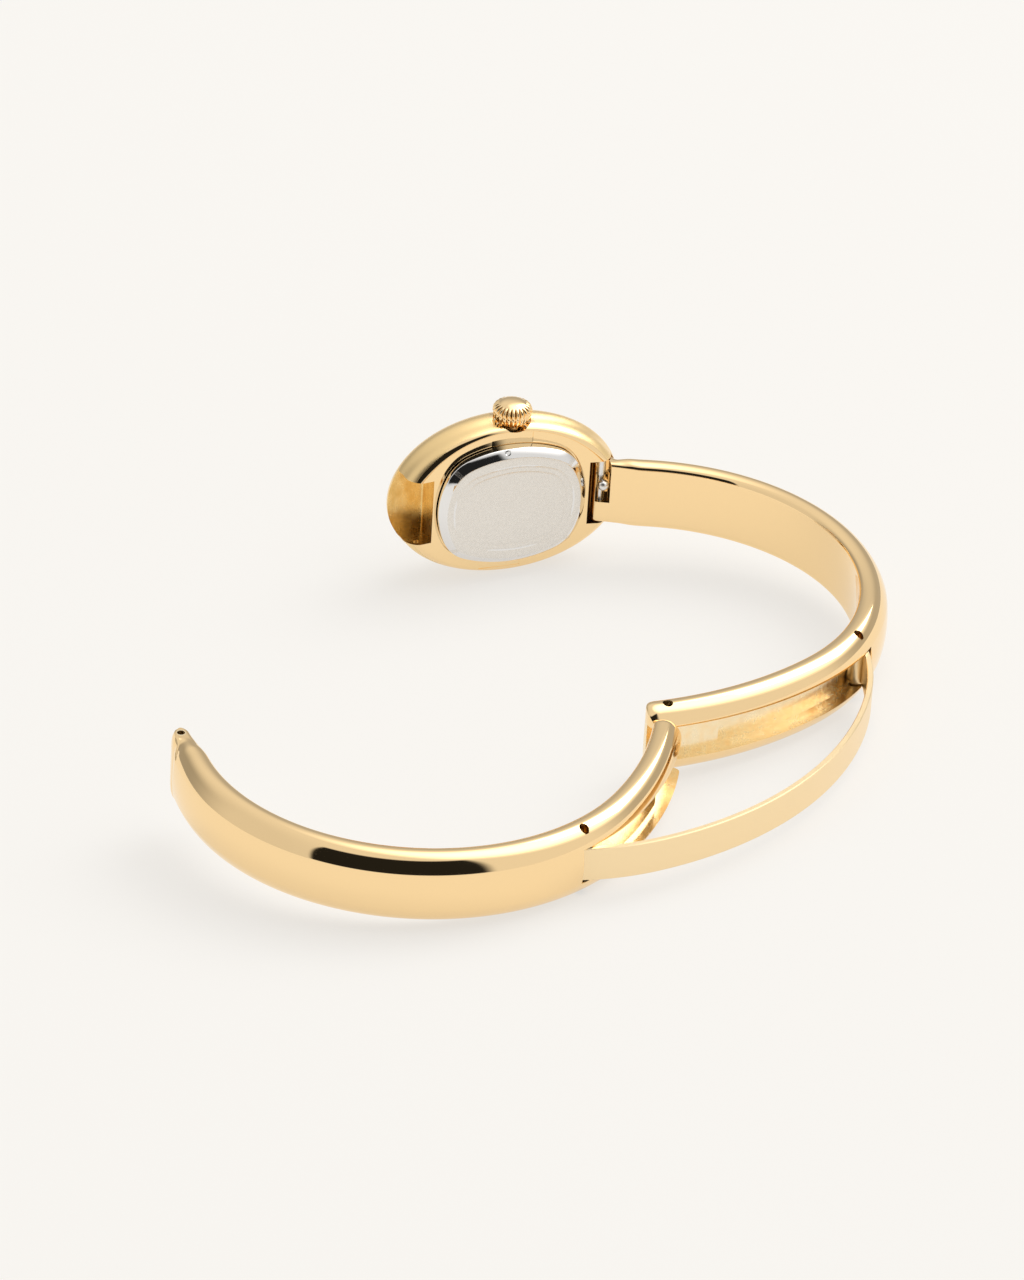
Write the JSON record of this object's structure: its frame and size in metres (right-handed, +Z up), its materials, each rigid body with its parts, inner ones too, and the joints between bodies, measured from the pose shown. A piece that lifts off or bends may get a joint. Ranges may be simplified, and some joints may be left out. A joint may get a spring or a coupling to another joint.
{
  "type": "bangle watch",
  "caption": "Small oval watch head on a rigid two-piece bangle, opened flat at a folding clasp strip, with a crown, lug bar lever and clasp bolt",
  "frame": {"origin": "middle of the underside of the open watch's bounding box, as it lies on a table", "axes": "+Z up from the table, +Y away from the clasp towards the head, +X to the right seen from the clasp"},
  "size_m": [0.0716, 0.0858, 0.0199],
  "materials": {
    "case_gold": "brushed flanks, polished rim, gold plating over steel",
    "arm_gold": "brushed and polished, gold plating over steel",
    "blade_gold": "brushed, gold plating over steel",
    "crown_gold": "polished, gold plating over steel",
    "back_steel": "fine matt face, polished wall",
    "pin_steel": "turned, polished",
    "glass": "clear",
    "gasket": "matt",
    "dial_paint": "satin, plain",
    "hand_gold": "polished",
    "movement_metal": "satin",
    "movement_plastic": "matt",
    "board": "matt",
    "cell": "smooth",
    "winding": "copper wire"
  },
  "bodies": {
    "head_and_upper_arm": {"case_body": "case_gold", "crystal": "glass", "crystal_gasket": "gasket", "dial": "dial_paint", "caseback": "back_steel", "caseback_gasket": "gasket", "movement_holder": "movement_plastic", "movement_plate": "movement_metal", "battery": "cell", "battery_clip": "pin_steel", "coil": "winding", "circuit_board": "board", "crown_tube": "pin_steel", "upper_arm": "arm_gold", "bar_sleeve": "pin_steel", "bar_spring": "pin_steel", "upper_hinge_pin": "crown_gold"},
    "clasp_blade": {"clasp_blade": "blade_gold"},
    "lower_arm": {"lower_arm": "arm_gold", "lower_hinge_pin": "crown_gold"},
    "clasp_bolt": {"clasp_bolt": "pin_steel"},
    "bar_plunger": {"bar_plunger": "pin_steel"},
    "setting_pinion": {"setting_pinion": "movement_metal"},
    "crown": {"crown": "crown_gold", "crown_stem": "pin_steel", "crown_gasket": "gasket"},
    "minute_hand": {"minute_hand": "hand_gold", "cannon_pinion": "movement_metal"},
    "minute_wheel": {"minute_wheel": "movement_metal"},
    "hour_hand": {"hour_hand": "hand_gold", "hour_wheel": "movement_metal"}
  },
  "joints": [
    {"name": "blade_hinge", "type": "hinge", "parent": "head_and_upper_arm", "child": "clasp_blade", "pos_m": [0.03245, 0.0053, 0.00416], "axis": [0.0784, -0.0623, 0.995], "range_deg": [-35.6, 0]},
    {"name": "lower_arm_hinge", "type": "hinge", "parent": "clasp_blade", "child": "lower_arm", "pos_m": [0.0054, -0.03457, 0.0038], "axis": [0.0784, -0.0623, 0.995], "range_deg": [-35.6, 0]},
    {"name": "lug_bar_release", "type": "slide", "parent": "head_and_upper_arm", "child": "bar_plunger", "axis": [-0.0784, 0.0623, -0.995], "range_m": [0, 0.00085], "stiffness_N_per_m": 400, "springref_m": -0.001, "deforming": ["bar_spring"]},
    {"name": "clasp_bolt_release", "type": "slide", "parent": "lower_arm", "child": "clasp_bolt", "axis": [-0.1525, -0.987, -0.0498], "range_m": [0, 0.0006], "stiffness_N_per_m": 400, "springref_m": -0.001},
    {"name": "crown_turn", "type": "hinge", "parent": "head_and_upper_arm", "child": "setting_pinion", "pos_m": [-0.00331, 0.03553, 0.01739], "axis": [0.0784, -0.0623, 0.995], "continuous": true},
    {"name": "crown_pull", "type": "slide", "parent": "setting_pinion", "child": "crown", "axis": [0.0784, -0.0623, 0.995], "range_m": [0, 0.0008]},
    {"name": "minute_hand_turn", "type": "hinge", "parent": "head_and_upper_arm", "child": "minute_hand", "pos_m": [-0.0036, 0.03375, 0.00879], "axis": [-0.3429, 0.9355, 0.0856], "continuous": true},
    {"name": "minute_wheel_turn", "type": "hinge", "parent": "head_and_upper_arm", "child": "minute_wheel", "pos_m": [-0.00192, 0.03438, 0.00869], "axis": [-0.3429, 0.9355, 0.0856], "continuous": true},
    {"name": "hour_hand_turn", "type": "hinge", "parent": "head_and_upper_arm", "child": "hour_hand", "pos_m": [-0.0036, 0.03375, 0.00879], "axis": [-0.3429, 0.9355, 0.0856], "continuous": true}
  ],
  "couplings": [
    {"joint": "minute_wheel_turn", "follows": "minute_hand_turn", "ratio": -0.33333},
    {"joint": "hour_hand_turn", "follows": "minute_hand_turn", "ratio": 0.083333}
  ]
}
